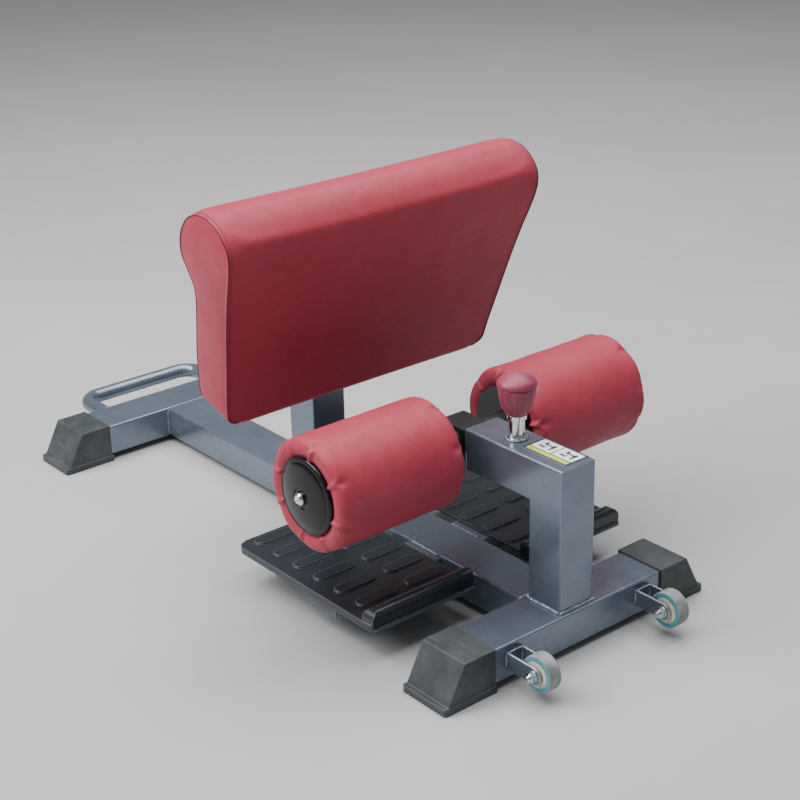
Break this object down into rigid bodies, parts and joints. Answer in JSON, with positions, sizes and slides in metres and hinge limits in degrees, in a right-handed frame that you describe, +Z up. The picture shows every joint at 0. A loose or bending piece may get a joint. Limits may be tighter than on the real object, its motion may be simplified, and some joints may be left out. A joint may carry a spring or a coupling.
{
  "type": "roman chair",
  "caption": "Floor-standing squat-style roman chair with foot plates, ankle rollers on a sliding carriage, a forward-leaning calf pad, transport wheels and a rear handle.",
  "frame": {"origin": "on the floor, under the middle of the overall length and width", "axes": "+X the right side seen from the front, +Y from the transport wheels to the rear handle, +Z up"},
  "size_m": [0.572, 1.1782, 0.5702],
  "materials": {
    "frame_paint": "blue-grey metallic powder coat, satin",
    "weld_bead": "painted weld, glossy over ripples",
    "plate_black": "black semi-gloss coat",
    "foot_rubber": "matt, lightly scuffed",
    "plug_grey": "moulded, matt",
    "red_leather": "artificial leather, satin grain",
    "plywood": "bare plywood",
    "zinc_steel": "zinc plated",
    "bright_chrome": "polished",
    "black_gloss": "moulded, glossy",
    "black_plastic": "moulded, satin",
    "slider_black": "black powder coat",
    "core_steel": "plain tube",
    "knob_maroon": "moulded, semi-gloss",
    "label_white": "printed film with plain blocks, no text",
    "tyre_grey": "soft grey tread",
    "ring_teal": "moulded",
    "hub_cream": "moulded nylon"
  },
  "bodies": {
    "base": {"main_beam": "frame_paint", "front_crossbar": "frame_paint", "rear_crossbar": "frame_paint", "front_post": "frame_paint", "roller_arm": "frame_paint", "rear_post": "frame_paint", "pad_gussets": "frame_paint", "pad_mount_plate": "frame_paint", "plate_support_left": "frame_paint", "plate_support_right": "frame_paint", "wheel_bracket_left": "frame_paint", "wheel_bracket_right": "frame_paint", "rear_handle": "frame_paint", "weld_beads": "weld_bead", "foot_plate_left": "plate_black", "foot_plate_right": "plate_black", "foot_cap_front_left": "foot_rubber", "foot_cap_front_right": "foot_rubber", "foot_cap_rear_left": "foot_rubber", "foot_cap_rear_right": "foot_rubber", "support_plugs": "plug_grey", "pad_cushion": "red_leather", "pad_board": "plywood", "pad_bolts": "zinc_steel", "pad_tee_nuts": "zinc_steel", "wheel_sleeves": "zinc_steel", "wheel_washers": "zinc_steel", "pin_spring": "zinc_steel", "pin_housing": "bright_chrome", "wheel_bolts": "bright_chrome", "wheel_nuts": "bright_chrome", "rear_post_cap": "black_plastic", "arm_liner": "black_plastic", "arm_label": "label_white"},
    "carriage": {"slider_tube": "slider_black", "slider_plug": "black_plastic", "roller_axle": "zinc_steel", "axle_spacers": "black_plastic", "axle_bolts": "bright_chrome"},
    "spring_pin": {"pin_plunger": "zinc_steel", "pin_knob": "knob_maroon"},
    "roller_left": {"roller_core_left": "core_steel", "roller_cushion_left": "red_leather", "roller_cap_outer_left": "black_gloss", "roller_cap_inner_left": "black_gloss"},
    "wheel_left": {"wheel_tyre_left": "tyre_grey", "wheel_ring_left": "ring_teal", "wheel_hub_left": "hub_cream"},
    "roller_right": {"roller_core_right": "core_steel", "roller_cushion_right": "red_leather", "roller_cap_outer_right": "black_gloss", "roller_cap_inner_right": "black_gloss"},
    "wheel_right": {"wheel_tyre_right": "tyre_grey", "wheel_ring_right": "ring_teal", "wheel_hub_right": "hub_cream"}
  },
  "joints": [
    {"name": "carriage_slide", "type": "slide", "parent": "base", "child": "carriage", "axis": [0, 1, 0], "range_m": [0, 0.075]},
    {"name": "pin_pull", "type": "slide", "parent": "base", "child": "spring_pin", "axis": [0, 0, 1], "range_m": [0, 0.01], "stiffness_N_per_m": 900, "springref_m": -0.005, "deforming": ["pin_spring"]},
    {"name": "roller_left_spin", "type": "hinge", "parent": "carriage", "child": "roller_left", "pos_m": [-0.17, -0.29513, 0.234], "axis": [1, 0, 0], "continuous": true},
    {"name": "wheel_left_spin", "type": "hinge", "parent": "base", "child": "wheel_left", "pos_m": [-0.118, -0.56412, 0.038], "axis": [1, 0, 0], "continuous": true},
    {"name": "roller_right_spin", "type": "hinge", "parent": "carriage", "child": "roller_right", "pos_m": [0.17, -0.29513, 0.234], "axis": [1, 0, 0], "continuous": true},
    {"name": "wheel_right_spin", "type": "hinge", "parent": "base", "child": "wheel_right", "pos_m": [0.118, -0.56412, 0.038], "axis": [1, 0, 0], "continuous": true}
  ]
}
